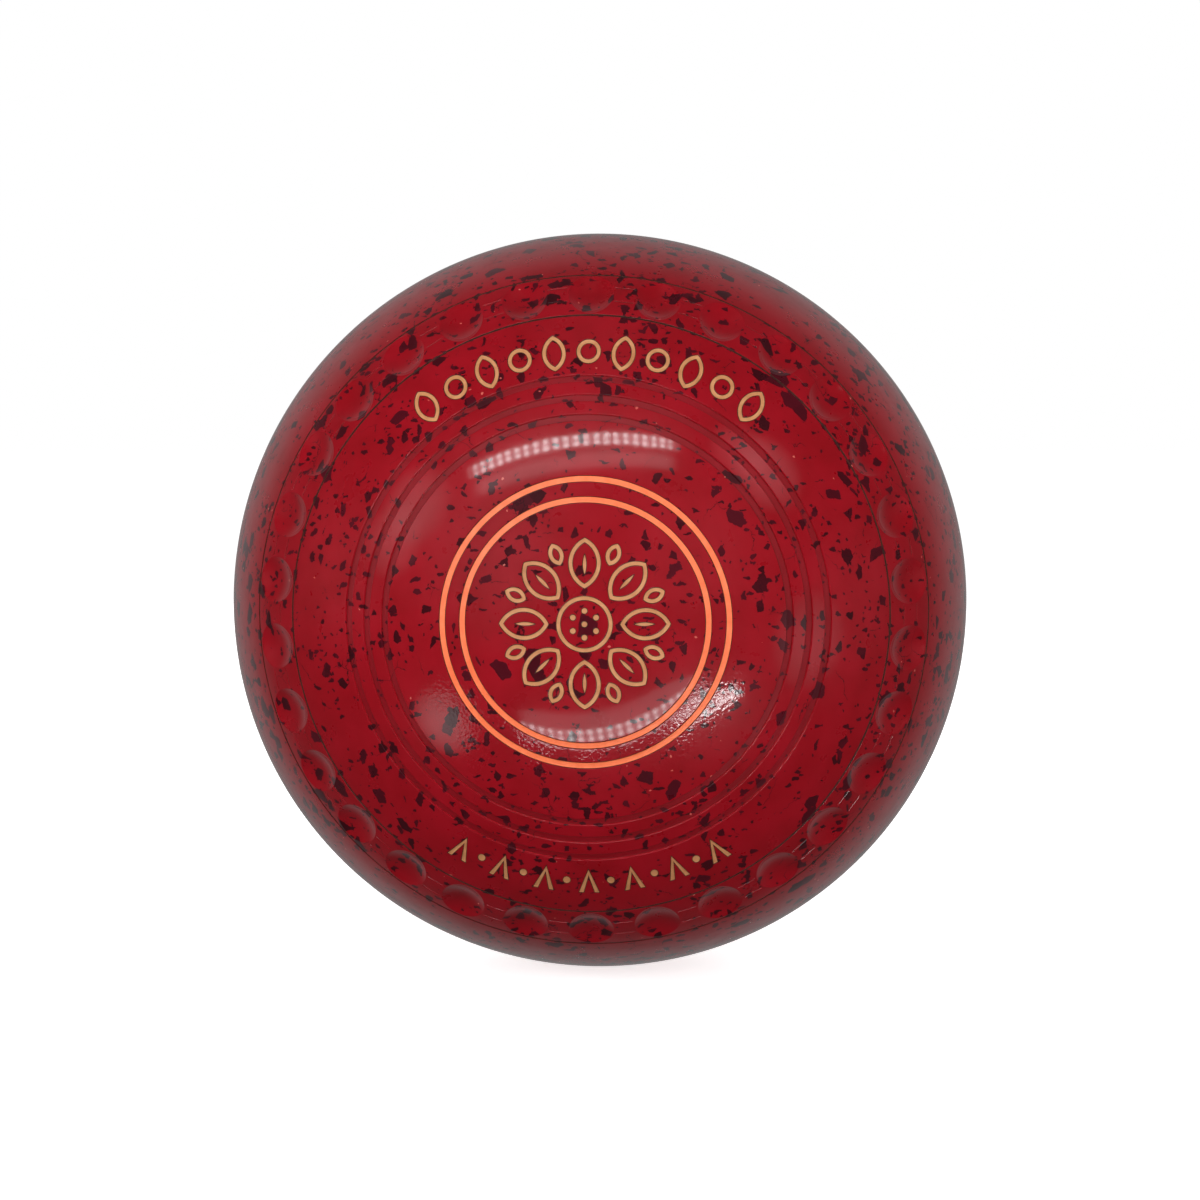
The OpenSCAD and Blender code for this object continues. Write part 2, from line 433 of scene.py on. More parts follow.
def groove_section():
    """Radius and depth of each row across the three broad grooves, and the slot beyond it."""
    rows = [(FACE_EDGE_R, 0.0, RESIN)]
    half = GROOVE_W / 2
    for i in range(3):
        middle = GROOVE_R + i * GROOVE_PITCH
        rows += [(middle - half + past, depth, RESIN) for past, depth in GROOVE_EDGE[:3]]
        # the inner wall below its lip, and each corner of the floor, are painted shade with some
        # grime
        rows += [(middle - half + past, depth, CUT_SHADE_AND_GRIME) for past, depth in GROOVE_EDGE[3:]]
        rows += [(middle - half + SHADE_GRIME_IN, GROOVE_DEPTH, GROOVE_FLOOR)]
        rows += [(middle + half - SHADE_GRIME_OUT, GROOVE_DEPTH, CUT_SHADE_AND_GRIME)]
        rows += [(middle + half - past, depth, RESIN) for past, depth in reversed(GROOVE_EDGE)]
        rows += [(middle + GROOVE_PITCH / 2, 0.0, RESIN)]
    rows[-1] = (BORDER_IN_R, 0.0, RESIN)
    return rows


def add_grooves(shell, side):
    rows = groove_section()
    angles = np.arange(COLUMNS) * 360 / COLUMNS
    for inner, outer in zip(rows, rows[1:]):
        pair = [side.turned(side.lean_at(r), depth, angles) for r, depth, _ in (inner, outer)]
        shell.loft(pair[::-1], inner[2])


# ---- A grip and its stretch of the band ----
# A stretch is drawn flat: u along the band and v across it, outward, from the grip's centre.

# A scribed line's section, as shares of its depth: (place across it, depth)
LINE_ROWS = [
    (-1.2, 0.0), (-0.85, 0.12), (-0.4, 0.6), (0.0, 1.0), (0.4, 0.6), (0.85, 0.12), (1.2, 0.0)
]
SHADE_GRIME_DEPTH = 0.02            # painted shade, with some grime, lies in the scribed lines, deeper than this
RIM_SOFT = 0.05               # share of a grip that its rounded rim takes
STEPS_REACH = 0.8             # the cutter's steps begin at this share of a grip's size
STEP_WIDTH = 0.08             # from one step to the next, as a share of a grip's size
STEP_HEIGHT = 0.03
# Rings of points in a grip, as shares of its size
GRIP_RINGS = [
    0.9995, 0.985, 0.97, 0.95, 0.93, 0.91, 0.89, 0.87, 0.85, 0.83, 0.8, 0.72, 0.6, 0.45, 0.3, 0.14
]
# Loose points round a grip: how far across the band, and shares of half a stretch along it
LOOSE_POINTS = [(3.4, (0.88, 1)), (0.0, (0.88, 1)), (4.3, (0.45, 0.6, 0.8, 1))]


def half_chord(surface_r, cutter_r):
    """Half the width of the hollow that a round cutter leaves in a round surface."""
    apart = surface_r + cutter_r - GRIP_DEPTH
    middle = (apart**2 + surface_r**2 - cutter_r**2) / (2 * apart)
    return math.sqrt(surface_r**2 - middle**2)


def grip_depth(reach, turn):
    """Depth of a grip at a share of its size, and turn round its centre, from +u.

    The cutter left fine steps in the half of the grip that is nearer the bowl's axis."""
    raw = 1 - reach**2
    rounded = np.where(raw < RIM_SOFT, (raw + RIM_SOFT) ** 2 / (4 * RIM_SOFT), raw)
    inward = np.clip(-np.sin(turn), 0, 1) ** 1.5
    past = reach - STEPS_REACH
    in_steps = np.clip(past / 0.04, 0, 1) * np.clip((0.985 - reach) / 0.03, 0, 1)
    steps = STEP_HEIGHT * np.cos(past / STEP_WIDTH * 2 * math.pi) * in_steps
    return GRIP_DEPTH * rounded + steps * inward


class Stretch:
    """The flat drawing of one grip's stretch of a band, with its scribed lines."""

    def __init__(self, side):
        leans = [side.lean_at(BORDER_OUT_R), *side.line_leans, side.lean_at(BAND_EDGE_R)]
        self.low, *self.lines, self.high = [(n - side.band_lean) * side.band_arc for n in leans]
        radius = side.turned(side.band_lean, 0, 0)[0] * -side.facing
        self.half_length = radius * math.pi / GRIPS
        self.along = half_chord(radius / math.sin(side.band_lean), GRIP_SHORT_R)
        self.across = half_chord(side.band_arc, GRIP_LONG_R)
        self.points, self.depths, self.edges = [], [], []

    def grip_outline(self, reach):
        turn = np.arange(RIM_POINTS) * 2 * math.pi / RIM_POINTS
        sides = [self.along * reach * np.cos(turn), self.across * reach * np.sin(turn)]
        return np.stack(sides, -1), turn

    def line(self, points, depths):
        base = len(self.points)
        self.points += points
        self.depths += depths
        self.edges += [(base + i, base + i + 1) for i in range(len(points) - 1)]

    def row(self, v, depth=0.0):
        """A line from edge to edge."""
        along = np.linspace(-self.half_length, self.half_length, CELL_COLUMNS + 1)
        self.line([(u, v) for u in along], [depth] * len(along))


def scribed(stretch, v, depth):
    for place, share in LINE_ROWS:
        stretch.row(v + place * depth, depth * share)


def fine_scribed(stretch, v, depth):
    """A fine line, broken where the grip lies."""
    end = stretch.along * math.sqrt(1 + RIM_SOFT - (v / stretch.across) ** 2) + 0.12
    for sign in (-1, 1):
        for place, share in LINE_ROWS:
            reaches = [stretch.half_length, (stretch.half_length + end) / 2, end + 0.2, end]
            depths = [depth * share] * 3 + [0.0]
            stretch.line([(sign * u, v + place * depth) for u in reaches], depths)


def add_loose_points(stretch):
    """Points between the lines, so that no face is long and narrow."""
    for v, shares in LOOSE_POINTS:
        sides = (-v, v) if v else (v,)
        for u in [share * end for share in shares for end in (-1, 1)]:
            for across in sides:
                stretch.line([(u * stretch.half_length, across)], [0.0])


def close_ends(stretch):
    """Joins the points at each end of the stretch, so that the next stretch fits it."""
    points = np.array(stretch.points)
    for end in (-stretch.half_length, stretch.half_length):
        found = np.flatnonzero(np.abs(points[:, 0] - end) < 1e-9)
        found = found[np.argsort(points[found, 1])]
        stretch.edges += list(zip(found[:-1].tolist(), found[1:].tolist()))


def stretch_drawing(stretch):
    """The flat points of a stretch around its grip, their depths, and its faces."""
    for v in (stretch.low, stretch.lines[0] - 0.7, stretch.lines[3] + 0.45, stretch.high):
        stretch.row(v)
    scribed(stretch, stretch.lines[0], SCRIBE_DEPTH)
    scribed(stretch, stretch.lines[3], SCRIBE_DEPTH)
    fine_scribed(stretch, stretch.lines[1], FINE_SCRIBE_DEPTH)
    fine_scribed(stretch, stretch.lines[2], FINE_SCRIBE_DEPTH)
    add_loose_points(stretch)
    close_ends(stretch)
    rim, _ = stretch.grip_outline(math.sqrt(1 + RIM_SOFT))
    base = len(stretch.points)
    edges = stretch.edges + [(base + a, base + b) for a, b in loop_edges([rim])]
    given = np.concatenate([stretch.points, rim])
    depths = np.array(stretch.depths + [0.0] * len(rim))
    flat, faces = triangulated(given, edges)
    nearest = np.linalg.norm(flat[:, None] - given[None], axis=2).argmin(1)
    depths = depths[nearest]
    faces = faces[~within(flat[faces].mean(1), [rim])]
    return flat, depths, faces, depths[faces].min(1) > SHADE_GRIME_DEPTH


def add_band(shell, side):
    """The grips and the scribed lines, one stretch of the band after another."""
    stretch = Stretch(side)
    flat, depths, faces, shaded_grimy = stretch_drawing(stretch)
    for i in range(GRIPS):
        def lay(drawn, depth):
            # u runs clockwise as seen from outside, so that v runs outward
            turn = drawn[:, 0] / stretch.half_length
            lean = side.band_lean + drawn[:, 1] / side.band_arc
            return side.turned(lean, depth, (2 * i + 1 - turn) * 180 / GRIPS)

        # faces deeper than that are painted shade with some grime; the rest is plain resin
        shell.add(lay(flat, depths), faces[~shaded_grimy], RESIN)
        shell.add(lay(flat, depths), faces[shaded_grimy], CUT_SHADE_AND_GRIME)
        rows = []
        for reach in (math.sqrt(1 + RIM_SOFT), 1.012, *GRIP_RINGS):
            drawn, turn = stretch.grip_outline(reach)
            rows.append(lay(drawn, grip_depth(reach, turn)))
        shell.loft(rows, RESIN)
        centre = lay(np.zeros((1, 2)), np.array([GRIP_DEPTH]))
        fan = [[j, (j + 1) % RIM_POINTS, RIM_POINTS] for j in range(RIM_POINTS)]
        shell.add(np.concatenate([rows[-1], centre]), fan, RESIN)


def add_sole(shell, side):
    start = side.lean_at(BAND_EDGE_R)
    angles = np.arange(COLUMNS) * 360 / COLUMNS
    leans = np.linspace(start, math.pi / 2, SOLE_ROWS)
    rows = [side.turned(lean, 0, angles) for lean in leans]
    shell.loft(rows[::-1], RESIN)


def true_normals(points):
    """Each point's normal on the turned surface, and which points lie on that surface."""
    normals = np.zeros_like(points)
    on_surface = np.zeros(len(points), bool)
    radius = np.linalg.norm(points[:, [0, 2]], axis=1)
    for side in (front, bias):
        height = (points[:, 1] + AXIS_SHIFT) * side.facing
        lean = np.arctan2(radius, height + side.back)
        off = np.hypot(radius, height + side.back) - side.flank_r
        sole_lean = np.arctan2(radius - sole_x, height)
        on_sole = lean > side.meeting
        lean = np.where(on_sole, sole_lean, lean)
        off = np.where(on_sole, np.hypot(radius - sole_x, height) - SOLE_R, off)
        mine = (height > -1e-4) & (np.abs(off) < 5e-4)
        out = points[:, [0, 2]] / np.maximum(radius, 1e-9)[:, None]
        normals[mine, 0] = (out[:, 0] * np.sin(lean))[mine]
        normals[mine, 2] = (out[:, 1] * np.sin(lean))[mine]
        normals[mine, 1] = (side.facing * np.cos(lean))[mine]
        on_surface |= mine
    return normals, on_surface


def smooth_as_turned(piece):
    """Gives the points of the plain surface that surface's own normals."""
    mesh = piece.data
    count = len(mesh.vertices)
    points, normals = np.zeros(count * 3), np.zeros(count * 3)
    mesh.vertices.foreach_get("co", points)
    mesh.vertex_normals.foreach_get("vector", normals)
    true, on_surface = true_normals(points.reshape(-1, 3) / MM)
    normals = np.where(on_surface[:, None], true, normals.reshape(-1, 3))
    mesh.normals_split_custom_set_from_vertices(normals.tolist())


def make_skin():
    shell = Shell()
    for side, marks in ((front, front_marks), (bias, bias_marks)):
        add_face_surface(shell, side, marks)
        add_cuts(shell, side, marks)
        add_grooves(shell, side)
        add_band(shell, side)
        add_sole(shell, side)
    skin = shell.piece("speckled_skin")
    smooth_as_turned(skin)
    return skin


# ---- The paint ----

# Paint climbs the walls of its cut and sags between them: (inset, depth)
PAINT_TOP = [(0.018, 0.1), (0.06, 0.125), (0.11, 0.145), (0.18, 0.158)]
PAINT, SHADE_GRIME_RIM = range(2)   # material slots of the paint


def add_paint(shell, side, mark):
    top = [mark(inset) for inset, _ in PAINT_TOP]
    for outlines in zip(*top):
        rows = [side.lifted(loop, depth) for loop, (_, depth) in zip(outlines, PAINT_TOP)]
        # the paint's sides and edge, from the cut's floor up, are painted shade with some grime: a
        # dark rim round each stroke
        shell.loft([side.lifted(outlines[0], CUT_DEPTH), *rows[:2]], SHADE_GRIME_RIM)
        shell.loft(rows[1:], PAINT)
    for loops, depth, flip in ((top[-1], PAINT_TOP[-1][1], False), (top[0], CUT_DEPTH, True)):
        flat, faces = triangulated(np.concatenate(loops), loop_edges(loops))
        kept = faces[within(flat[faces].mean(1), loops)]
        shell.add(side.lifted(flat, depth), kept[:, ::-1] if flip else kept)


def make_paint(node, side, group):
    shell = Shell()
    for mark in group:
        add_paint(shell, side, mark)
    return shell.piece("filled_" + node)


# ---- Materials ----

def feed(tree, target, inputs):
    """Gives a node's sockets, by name or number, a value or another socket."""
    for name, value in inputs.items():
        if isinstance(value, bpy.types.NodeSocket):
            tree.links.new(value, target.inputs[name])
        else:
            target.inputs[name].default_value = value


def node(tree, kind, settings=None, inputs=None):
    """Adds a node, and feeds its inputs."""
    made = tree.nodes.new("ShaderNode" + kind)
    for name, value in (settings or {}).items():
        setattr(made, name, value)
    feed(tree, made, inputs or {})
    return made


def math_node(tree, operation, *values):
    made = node(tree, "Math", {"operation": operation}, dict(enumerate(values)))
    return made.outputs[0]


def vector_math(tree, operation, inputs):
    return node(tree, "VectorMath", {"operation": operation}, inputs).outputs[0]


def vector_length(tree, vector):
    made = node(tree, "VectorMath", {"operation": "LENGTH"}, {0: vector})
    return made.outputs["Value"]


def bump(tree, height, distance, strength=1.0):
    made = node(tree, "Bump", None, {
        "Strength": strength, "Distance": distance, "Height": height
    })
    return made.outputs[0]


def new_material(name):
    made = bpy.data.materials.new(name)
    made.use_nodes = True
    return made, made.node_tree, made.node_tree.nodes["Principled BSDF"]


def linear(red, green, blue):
    """A colour given in sRGB, 0 to 255, as the shader takes it."""
    shares = [c / 255 for c in (red, green, blue)]
    return (*[c / 12.92 if c < 0.04045 else ((c + 0.055) / 1.055) ** 2.4 for c in shares], 1.0)


def object_mm(tree):
    """The place on the object, in millimetres."""
    place = node(tree, "TexCoord").outputs["Object"]
    return vector_math(tree, "SCALE", {0: place, "Scale": 1 / MM})


def noise_node(tree, place, size, detail, roughness):
    return node(tree, "TexNoise", None, {
        "Vector": place, "Scale": 1 / size, "Detail": detail, "Roughness": roughness
    })


def noise(tree, place, size, detail=2.0, roughness=0.5):
    """A value from a noise whose patches are about that size."""
    return noise_node(tree, place, size, detail, roughness).outputs[0]


def remapped(tree, value, low, high, to_low=0.0, to_high=1.0):
    """The value, mapped from one range to the other and held at its ends."""
    made = node(tree, "MapRange", None, {0: value, 1: low, 2: high, 3: to_low, 4: to_high})
    return made.outputs[0]


def mixed(tree, share, first, second):
    """A mix of two colours, which are sockets 6 and 7 of the node."""
    made = node(tree, "Mix", {"data_type": "RGBA"}, {0: share, 6: first, 7: second})
    return made.outputs[2]


def warped(tree, place, size, amount):
    """The place, moved about by a noise, so that straight edges turn ragged."""
    wobble = noise_node(tree, place, size, 3.0, 0.6).outputs["Color"]
    centred = vector_math(tree, "SUBTRACT", {0: wobble, 1: (0.5, 0.5, 0.5)})
    moved = vector_math(tree, "SCALE", {0: centred, "Scale": amount})
    return vector_math(tree, "ADD", {0: place, 1: moved})


def chips(tree, place, size, share, seed, stretch):
    """Where chips of about that size fill that share of the resin, and a shade for each."""
    mapped = node(tree, "Mapping", None, {
        "Vector": place,
        "Location": (seed, 2 * seed, 3 * seed),
        "Rotation": (seed, seed / 2, seed / 3),
        "Scale": tuple(s / size for s in stretch)
    })
    cells = node(tree, "TexVoronoi", {"feature": "F1"}, {"Vector": mapped.outputs[0], "Scale": 1.0})
    pick = node(tree, "SeparateColor", None, {0: cells.outputs["Color"]})
    return math_node(tree, "LESS_THAN", pick.outputs[0], share), pick.outputs[1]


# Size in mm, share of the resin, seed and stretch of each layer of chips
CHIP_LAYERS = [
    (2.3, 0.032, 3.1, (1.0, 1.25, 0.9)),
    (1.5, 0.048, 7.7, (1.35, 0.75, 1.0)),
    (0.88, 0.036, 12.9, (0.75, 1.1, 1.45)),
    (0.42, 0.015, 21.3, (1.0, 1.0, 1.0)),
]


def chip_cover(tree, place):
    """Where any chip lies, and a shade that differs from chip to chip."""
    crowding = remapped(tree, noise(tree, place, 13.0, 1.0), 0.35, 0.65, 0.35, 1.7)
    ragged = warped(tree, place, 0.9, 0.7)
    cover, shade = None, None
    for size, share, seed, stretch in CHIP_LAYERS:
        crowded = math_node(tree, "MULTIPLY", crowding, share)
        layer, tone = chips(tree, ragged, size, crowded, seed, stretch)
        cover = layer if cover is None else math_node(tree, "MAXIMUM", cover, layer)
        shade = tone if shade is None else shade
    return cover, shade


SCRATCH_TURNS = [(0.3, 0.2, 0.9), (1.2, 0.7, 0.1)]    # of the two ways that scratches run


def scratches(tree, place, turn, length=9.0, width=0.035):
    """Thin straight scratches in one direction, here and there."""
    mapped = node(tree, "Mapping", None, {
        "Vector": place, "Rotation": turn, "Scale": (1 / length, 1 / width, 1 / width)
    })
    streaks = noise(tree, mapped.outputs[0], 1.0, 1.0)
    thin = remapped(tree, streaks, 0.74, 0.79)
    where = remapped(tree, noise(tree, place, 8.0, 1.0), 0.52, 0.62)
    return math_node(tree, "MULTIPLY", thin, where)


def hairlines(tree, place):
    """A few thin dark cracks."""
    bent = warped(tree, place, 2.5, 2.5)
    edges = {"feature": "DISTANCE_TO_EDGE"}
    cells = node(tree, "TexVoronoi", edges, {"Vector": bent, "Scale": 0.16})
    thin = remapped(tree, cells.outputs["Distance"], 0.003, 0.009, 1.0, 0.0)
    where = remapped(tree, noise(tree, place, 5.0, 2.0), 0.57, 0.63)
    return math_node(tree, "MULTIPLY", thin, where)


def scuffing(tree, place):
    """Where the polish is scuffed: outside the large rings on each face's lower half, and
    faintly in patches elsewhere."""
    axes = node(tree, "SeparateXYZ", None, {0: place})
    flat = node(tree, "CombineXYZ", None, {0: axes.outputs[0], 1: axes.outputs[2]}).outputs[0]
    radius = vector_length(tree, flat)
    inner = remapped(tree, radius, 18.7, 19.4)
    outer = remapped(tree, radius, 23.5, 28.0, 1.0, 0.0)
    low = remapped(tree, axes.outputs[2], -4.0, -10.0)
    ring_mask = math_node(tree, "MULTIPLY", math_node(tree, "MULTIPLY", inner, outer), low)
    patches = remapped(tree, noise(tree, place, 6.0, 2.0), 0.4, 0.58, 0.5, 1.0)
    elsewhere = remapped(tree, noise(tree, place, 9.0, 2.0), 0.6, 0.72, 0.0, 0.1)
    return math_node(tree, "MAXIMUM", math_node(tree, "MULTIPLY", ring_mask, patches), elsewhere)


def resin_colour(tree, place, marks, tone):
    """Crimson with dark chips, hairline cracks, pinholes and pale scratches."""
    cloud = remapped(tree, noise(tree, place, 7.0, 3.0), 0.3, 0.7)
    lighter = linear(*[c * tone for c in (143, 9, 24)])
    red = mixed(tree, cloud, linear(*[c * tone for c in (131, 5, 17)]), lighter)
    cover, shade = chip_cover(tree, place)
    dark = mixed(tree, shade, linear(48, 2, 10), linear(72, 5, 19))
    body = mixed(tree, cover, red, dark)
    body = mixed(tree, hairlines(tree, place), body, linear(34, 4, 12))
    pinholes, _ = chips(tree, place, 0.3, 0.0004, 5.5, (1, 1, 1))
    body = mixed(tree, pinholes, body, linear(190, 90, 80))
    return mixed(tree, math_node(tree, "MULTIPLY", marks, 0.2), body, linear(190, 100, 90))


def resin_height(tree, place, marks):
    """Height of the polish in mm: a grain where it is scuffed, a ripple and the scratches."""
    scuffed = math_node(tree, "MULTIPLY", scuffing(tree, place), 0.05)
    grain = math_node(tree, "MULTIPLY", noise(tree, place, 0.5, 1.0), scuffed)
    ripple = math_node(tree, "MULTIPLY", noise(tree, place, 3.0, 2.0), 0.006)
    height = math_node(tree, "ADD", grain, ripple)
    return math_node(tree, "SUBTRACT", height, math_node(tree, "MULTIPLY", marks, 0.003))


def resin_material(name, tone, rough, coat, coat_rough):
    """Polished resin with fine scratches and patches of duller polish."""
    made, tree, shader = new_material(name)
    place = object_mm(tree)
    one_way, other_way = (scratches(tree, place, turn) for turn in SCRATCH_TURNS)
    marks = math_node(tree, "MAXIMUM", one_way, other_way)
    dull = noise(tree, place, 5.0, 4.0, 0.6)
    relief = bump(tree, resin_height(tree, place, marks), MM)
    feed(tree, shader, {
        "Base Color": resin_colour(tree, place, marks, tone),
        "Roughness": remapped(tree, dull, 0.35, 0.7, rough, rough + 0.12),
        "Normal": relief,
        "Coat Normal": relief,
        "Coat Weight": coat,
        "Coat Roughness": coat_rough,
        "Specular IOR Level": 0.18,
        "IOR": 1.5,
    })
    return made


def cut_shade_and_grime_material():
    """Painted shade, with some grime: dark resin along the edges of the engraved cuts, where their
    shadows fall.
    """
    made, tree, shader = new_material("cut_shade_and_grime")
    place = object_mm(tree)
    share = remapped(tree, noise(tree, place, 0.8, 3.0), 0.35, 0.65)
    # a dark brown that stands for the shade in the cuts and grooves, with some grime
    shade_grime_colour = mixed(tree, share, linear(30, 16, 8), linear(66, 22, 14))
    feed(tree, shader, {"Base Color": shade_grime_colour, "Roughness": 0.7})
    return made


def paint_material(name, light, deep):
    """Enamel that filled a cut: uneven in tone, with a few dark specks of grime."""
    made, tree, shader = new_material(name)
    place = object_mm(tree)
    tone = remapped(tree, noise(tree, place, 1.6, 4.0, 0.6), 0.3, 0.7)
    specks = remapped(tree, noise(tree, place, 0.28, 2.0, 0.7), 0.72, 0.78, 0.0, 0.7)
    feed(tree, shader, {
        "Base Color": mixed(tree, specks, mixed(tree, tone, deep, light), linear(90, 45, 28)),
        "Roughness": remapped(tree, noise(tree, place, 0.9, 3.0), 0.3, 0.7, 0.34, 0.5),
        "Normal": bump(tree, noise(tree, place, 0.35, 3.0), 0.03 * MM, 0.25),
    })
    return made


def core_material():
    """Plain dark resin as it left the mould."""
    made, tree, shader = new_material("core_resin")
    place = object_mm(tree)
    share = remapped(tree, noise(tree, place, 2.5, 5.0, 0.65), 0.3, 0.7)
    feed(tree, shader, {
        "Base Color": mixed(tree, share, linear(58, 54, 52), linear(78, 73, 70)),
        "Roughness": 0.62,
        "Normal": bump(tree, noise(tree, place, 0.6, 4.0), 0.1 * MM, 0.3),
    })
    return made


# ---- The object ----

skin = make_skin()
cut_shade_and_grime = cut_shade_and_grime_material()
skin.data.materials.append(resin_material("speckled_resin", 1.0, 0.27, 1.0, 0.065))
skin.data.materials.append(cut_shade_and_grime)
# the grooves' floors: rougher turned resin, its colour darkened by a tenth as painted shade in the
# grooves
skin.data.materials.append(resin_material("turned_resin_with_painted_shade", 0.9, 0.4, 0.5, 0.36))
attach(skin, "root")
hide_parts("bowl_skin")

ring_paint = paint_material("ring_paint", linear(246, 124, 80), linear(232, 108, 64))
line_paint = paint_material("line_paint", linear(200, 142, 98), linear(178, 118, 74))
for side, marks in ((front, front_marks), (bias, bias_marks)):
    for name, group in marks.items():
        piece = make_paint(name, side, group)
        is_ring = name.endswith("_ring_paint")
        piece.data.materials.append(ring_paint if is_ring else line_paint)
        piece.data.materials.append(cut_shade_and_grime)
        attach(piece, "root")
        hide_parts(name)

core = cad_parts["bowl_core"]
core.data.materials.clear()
core.data.materials.append(core_material())

# ---- Stage, lights and camera ----

CAMERA_AZIMUTH = 2.36         # degrees from the front face's axis, towards +X
CAMERA_ELEVATION = 3.69
CAMERA_DISTANCE = 0.5
LENS = 89.4                   # millimetres, on a sensor 36 mm wide
STRIP_DISTANCE = 0.6
STRIP_HEIGHT = 0.2            # of the light that a strip and its haze are drawn on
LAMP_GAP = 0.02               # from one row to the other
LAMP_PITCH = LAMP_GAP * 1.35  # from lamp to lamp in a row
END_FADE = 0.15               # share of half a strip's length that each end takes to fade
FLOOR_R = 6.0
FILL_DISTANCE = 0.9
FILL_SIZE = 0.5
FILL_AZIMUTHS = (-28, 28, 152, -152)
FILL_ELEVATION = 14.0
FILL_POWER = 3.9
RIM_FILL_SIZE = 0.4
# Soft glows in what the bowl reflects: azimuth, elevation and spread in degrees, and strength
GLOWS = [
    (-58.0, 25.0, 11.0, 0.8), (-62.5, 15.5, 10.0, 0.65),
    (54.0, 41.0, 9.0, 0.55), (60.0, 34.0, 11.0, 0.8),
    (64.5, -9.0, 13.0, 0.6), (-49.0, -30.0, 10.0, 1.6),
]
# Fills that brighten the bowl's edges: name, azimuth, elevation and power
RIM_FILLS = [
    ("left_fill", -78.0, 6.0, 3.0), ("right_fill", 80.0, 0.0, 1.4),
    ("lower_fill", 180.0, -46.0, 2.8), ("upper_fill", 0.0, 78.0, 1.4),
]


def direction(azimuth, elevation):
    """From the bowl towards a place at that azimuth and elevation, in degrees."""
    azimuth, elevation = math.radians(azimuth), math.radians(elevation)
    flat = math.cos(elevation)
    return Vector((flat * math.sin(azimuth), -flat * math.cos(azimuth), math.sin(elevation)))


def aimed(thing, azimuth, elevation, distance, roll=0.0):
    """Puts a camera or light out at that place, looking at the origin."""
    away = direction(azimuth, elevation)
    thing.location = away * distance
    across = Vector((-away.y, away.x, 0)).normalized()
    upright = Matrix((across, away.cross(across), away)).transposed()
    thing.rotation_euler = (upright @ Matrix.Rotation(math.radians(roll), 3, "Z")).to_euler()
    bpy.context.scene.collection.objects.link(thing)
    return thing


def make_camera():
    data = bpy.data.cameras.new("camera")
    data.lens = LENS
    data.sensor_width = 36
    data.clip_start = 0.01
    camera = bpy.data.objects.new("camera", data)
    bpy.context.scene.camera = aimed(camera, CAMERA_AZIMUTH, CAMERA_ELEVATION, CAMERA_DISTANCE)


def area_light(name, place, distance, size, power, glossy=True):
    """A rectangular light of that power in watts. place is its azimuth, elevation and roll."""
    data = bpy.data.lights.new(name, "AREA")
    data.shape = "RECTANGLE"
    data.size, data.size_y = size
    data.energy = power
    lamp = bpy.data.objects.new(name, data)
    lamp.visible_camera = False
    lamp.visible_glossy = glossy
    return aimed(lamp, place[0], place[1], distance, place[2])


def lamp_rows(tree, along, up):
    """Two rows of soft round lamps, where along and up are in metres from the middle."""
    step = math_node(tree, "FRACT", math_node(tree, "DIVIDE", along, LAMP_PITCH))
    aside = math_node(tree, "MULTIPLY", math_node(tree, "SUBTRACT", step, 0.5), LAMP_PITCH)
    out = math_node(tree, "ABSOLUTE", up)
    over = math_node(tree, "SUBTRACT", out, LAMP_GAP / 2)
    apart = vector_length(tree, node(tree, "CombineXYZ", None, {0: aside, 1: over}).outputs[0])
    lamps = remapped(tree, apart, 0.002, 0.0115, 0.95, 0.1)
    edge = remapped(tree, out, LAMP_GAP * 0.85, LAMP_GAP * 1.2, 1.0, 0.0)
    return math_node(tree, "MULTIPLY", lamps, edge)


def draw_strip(lamp, length, bow, haze_up, reach=1.0):
    """Draws a bowed strip of lamps on an area light, and a soft band of haze beside it.

    reach is how far it goes to the right, as a share of half its length."""
    data = lamp.data
    data.use_nodes = True
    tree = data.node_tree
    place = node(tree, "SeparateXYZ", None, {0: node(tree, "NewGeometry").outputs["Parametric"]})
    along = remapped(tree, place.outputs[0], 0, 1, -data.size / 2, data.size / 2)
    up = remapped(tree, place.outputs[1], 0, 1, -data.size_y / 2, data.size_y / 2)
    share = math_node(tree, "DIVIDE", along, length / 2)
    square = math_node(tree, "MINIMUM", math_node(tree, "MULTIPLY", share, share), 1.0)
    bowed = math_node(tree, "MULTIPLY", square, bow)
    up = math_node(tree, "SUBTRACT", up, bowed)
    right = remapped(tree, share, reach - END_FADE, reach, 1.0, 0.0)
    left = remapped(tree, share, -1.0, END_FADE - 1.0)
    ends = math_node(tree, "MULTIPLY", left, right)
    haze = math_node(tree, "ABSOLUTE", math_node(tree, "SUBTRACT", up, haze_up))
    haze = remapped(tree, haze, 0.012, 0.036, 0.065, 0.0)
    strength = math_node(tree, "ADD", lamp_rows(tree, along, up), haze)
    strength = math_node(tree, "MULTIPLY", strength, ends)
    tree.links.new(strength, tree.nodes["Emission"].inputs["Strength"])


